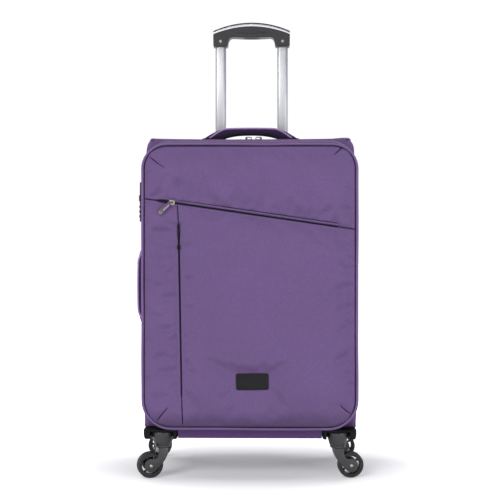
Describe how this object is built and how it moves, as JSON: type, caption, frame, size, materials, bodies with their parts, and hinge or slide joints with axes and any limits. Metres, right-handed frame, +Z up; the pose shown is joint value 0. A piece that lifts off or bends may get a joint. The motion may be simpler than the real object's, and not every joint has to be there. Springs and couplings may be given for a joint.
{
  "type": "softside upright suitcase",
  "caption": "Padded purple fabric upright case with a hinged zipped lid, telescopic twin-pole handle, carry handles, side combination lock and swivel casters.",
  "frame": {"origin": "bottom centre of the bounding box, on the floor that the casters stand on", "axes": "+Z up; -Y out of the front panel; +X to the right of a person facing the front"},
  "size_m": [0.4519, 0.2908, 0.9325],
  "materials": {
    "purple_fabric": "woven polyester, matt",
    "dark_purple_fabric": "woven polyester, matt",
    "zip_tape": "ribbed zip tape",
    "lining": "smooth lining on board",
    "pole_aluminium": "brushed, satin",
    "chrome_trim": "polished",
    "brass_fastener": "worn",
    "grip_plastic": "satin moulded",
    "black_plastic": "fine moulded texture",
    "wheel_rubber": "matt tread",
    "badge_rubber": "moulded, matt",
    "zip_metal": "gunmetal plate"
  },
  "bodies": {
    "case": {"back_panel": "purple_fabric", "top_panel": "purple_fabric", "left_side_panel": "purple_fabric", "right_side_panel": "purple_fabric", "front_rim": "purple_fabric", "base_tray": "dark_purple_fabric", "inner_back_board": "lining", "outer_tube_left": "pole_aluminium", "outer_tube_right": "pole_aluminium", "handle_collar": "black_plastic", "zip_tape_body": "zip_tape", "hinge_strip": "dark_purple_fabric", "lock_body": "black_plastic", "top_anchor_left": "black_plastic", "top_anchor_right": "black_plastic", "side_anchor_lower": "black_plastic", "side_anchor_upper": "black_plastic", "housing_front_left": "black_plastic", "housing_front_right": "black_plastic", "housing_rear_left": "black_plastic", "housing_rear_right": "black_plastic"},
    "lid": {"lid_front_panel": "purple_fabric", "lid_gusset": "purple_fabric", "lid_lining": "lining", "zip_tape_lid": "zip_tape", "badge": "badge_rubber"},
    "pocket_slider": {"pocket_slider": "zip_metal"},
    "pocket_pull": {"pocket_pull": "zip_metal"},
    "flap_slider": {"flap_slider": "zip_metal"},
    "main_slider_left": {"main_slider_left": "zip_metal"},
    "main_pull_left": {"main_pull_left": "zip_metal"},
    "main_slider_right": {"main_slider_right": "zip_metal"},
    "main_pull_right": {"main_pull_right": "zip_metal"},
    "handle_middle": {"middle_tube_left": "pole_aluminium", "middle_tube_right": "pole_aluminium"},
    "handle_inner": {"inner_tube_left": "pole_aluminium", "inner_tube_right": "pole_aluminium", "grip": "grip_plastic", "grip_stripe": "chrome_trim", "grip_screw_left": "brass_fastener", "grip_screw_right": "brass_fastener"},
    "grip_button": {"grip_button": "grip_plastic"},
    "top_handle": {"top_handle": "purple_fabric"},
    "side_handle": {"side_handle": "purple_fabric"},
    "lock_dial_1": {"lock_dial_1": "black_plastic"},
    "lock_dial_2": {"lock_dial_2": "black_plastic"},
    "lock_dial_3": {"lock_dial_3": "black_plastic"},
    "lock_release": {"lock_release": "grip_plastic"},
    "caster_front_left": {"fork_front_left": "black_plastic", "axle_front_left": "brass_fastener"},
    "wheel_front_left": {"wheel_front_left": "wheel_rubber"},
    "caster_front_right": {"fork_front_right": "black_plastic", "axle_front_right": "brass_fastener"},
    "wheel_front_right": {"wheel_front_right": "wheel_rubber"},
    "caster_rear_left": {"fork_rear_left": "black_plastic", "axle_rear_left": "brass_fastener"},
    "wheel_rear_left": {"wheel_rear_left": "wheel_rubber"},
    "caster_rear_right": {"fork_rear_right": "black_plastic", "axle_rear_right": "brass_fastener"},
    "wheel_rear_right": {"wheel_rear_right": "wheel_rubber"}
  },
  "joints": [
    {"name": "lid_hinge", "type": "hinge", "parent": "case", "child": "lid", "pos_m": [0.21441, -0.0816, 0.378], "axis": [0, 0, 1], "range_deg": [0, 175]},
    {"name": "handle_middle_slide", "type": "slide", "parent": "case", "child": "handle_middle", "axis": [0, 0, 1], "range_m": [0, 0.12]},
    {"name": "handle_inner_slide", "type": "slide", "parent": "handle_middle", "child": "handle_inner", "axis": [0, 0, 1], "range_m": [-0.24, 0]},
    {"name": "grip_button_press", "type": "slide", "parent": "handle_inner", "child": "grip_button", "axis": [0, 0, 1], "range_m": [0, 0.003], "stiffness_N_per_m": 600},
    {"name": "top_handle_lift", "type": "slide", "parent": "case", "child": "top_handle", "axis": [0, 0, 1], "range_m": [0, 0.012], "stiffness_N_per_m": 600},
    {"name": "side_handle_lift", "type": "slide", "parent": "case", "child": "side_handle", "axis": [-1, 0, 0], "range_m": [0, 0.012], "stiffness_N_per_m": 600},
    {"name": "lock_release_press", "type": "slide", "parent": "case", "child": "lock_release", "axis": [1, 0, 0], "range_m": [0, 0.0015], "stiffness_N_per_m": 400},
    {"name": "pocket_slide", "type": "slide", "parent": "lid", "child": "pocket_slider", "axis": [0.9895, 0, -0.1448], "range_m": [-0.022, 0.314]},
    {"name": "pocket_pull_hinge", "type": "hinge", "parent": "pocket_slider", "child": "pocket_pull", "pos_m": [-0.14366, -0.1432, 0.53336], "axis": [0.1448, 0, 0.9895], "range_deg": [0, 150]},
    {"name": "flap_slide", "type": "slide", "parent": "lid", "child": "flap_slider", "axis": [0.0177, 0, -0.9998], "range_m": [-0.04, 0.28]},
    {"name": "main_slide_left", "type": "slide", "parent": "case", "child": "main_slider_left", "axis": [-1, 0, 0], "range_m": [0, 0.14]},
    {"name": "main_slide_right", "type": "slide", "parent": "case", "child": "main_slider_right", "axis": [1, 0, 0], "range_m": [0, 0.126]},
    {"name": "main_pull_left_hinge", "type": "hinge", "parent": "main_slider_left", "child": "main_pull_left", "pos_m": [-0.00209, -0.0816, 0.6618], "axis": [0, -1, 0], "range_deg": [0, 150]},
    {"name": "main_pull_right_hinge", "type": "hinge", "parent": "main_slider_right", "child": "main_pull_right", "pos_m": [0.02491, -0.0816, 0.6618], "axis": [0, 1, 0], "range_deg": [0, 150]},
    {"name": "lock_dial_1_spin", "type": "hinge", "parent": "case", "child": "lock_dial_1", "pos_m": [-0.21149, -0.0296, 0.511], "axis": [0, 0, 1], "continuous": true},
    {"name": "lock_dial_2_spin", "type": "hinge", "parent": "case", "child": "lock_dial_2", "pos_m": [-0.21149, -0.0296, 0.5205], "axis": [0, 0, 1], "continuous": true},
    {"name": "lock_dial_3_spin", "type": "hinge", "parent": "case", "child": "lock_dial_3", "pos_m": [-0.21149, -0.0296, 0.53], "axis": [0, 0, 1], "continuous": true},
    {"name": "caster_front_left_swivel", "type": "hinge", "parent": "case", "child": "caster_front_left", "pos_m": [-0.16659, -0.0896, 0.059], "axis": [0, 0, 1], "continuous": true},
    {"name": "wheel_front_left_spin", "type": "hinge", "parent": "caster_front_left", "child": "wheel_front_left", "pos_m": [-0.19037, -0.09732, 0.025], "axis": [0.309, -0.9511, 0], "continuous": true},
    {"name": "caster_front_right_swivel", "type": "hinge", "parent": "case", "child": "caster_front_right", "pos_m": [0.17541, -0.0896, 0.059], "axis": [0, 0, 1], "continuous": true},
    {"name": "wheel_front_right_spin", "type": "hinge", "parent": "caster_front_right", "child": "wheel_front_right", "pos_m": [0.20031, -0.08742, 0.025], "axis": [-0.0872, 0.9962, 0], "continuous": true},
    {"name": "caster_rear_left_swivel", "type": "hinge", "parent": "case", "child": "caster_rear_left", "pos_m": [-0.16659, 0.1044, 0.059], "axis": [0, 0, 1], "continuous": true},
    {"name": "wheel_rear_left_spin", "type": "hinge", "parent": "caster_rear_left", "child": "wheel_rear_left", "pos_m": [-0.19159, 0.1044, 0.025], "axis": [0, -1, 0], "continuous": true},
    {"name": "caster_rear_right_swivel", "type": "hinge", "parent": "case", "child": "caster_rear_right", "pos_m": [0.17541, 0.1044, 0.059], "axis": [0, 0, 1], "continuous": true},
    {"name": "wheel_rear_right_spin", "type": "hinge", "parent": "caster_rear_right", "child": "wheel_rear_right", "pos_m": [0.20041, 0.1044, 0.025], "axis": [0, 1, 0], "continuous": true}
  ]
}
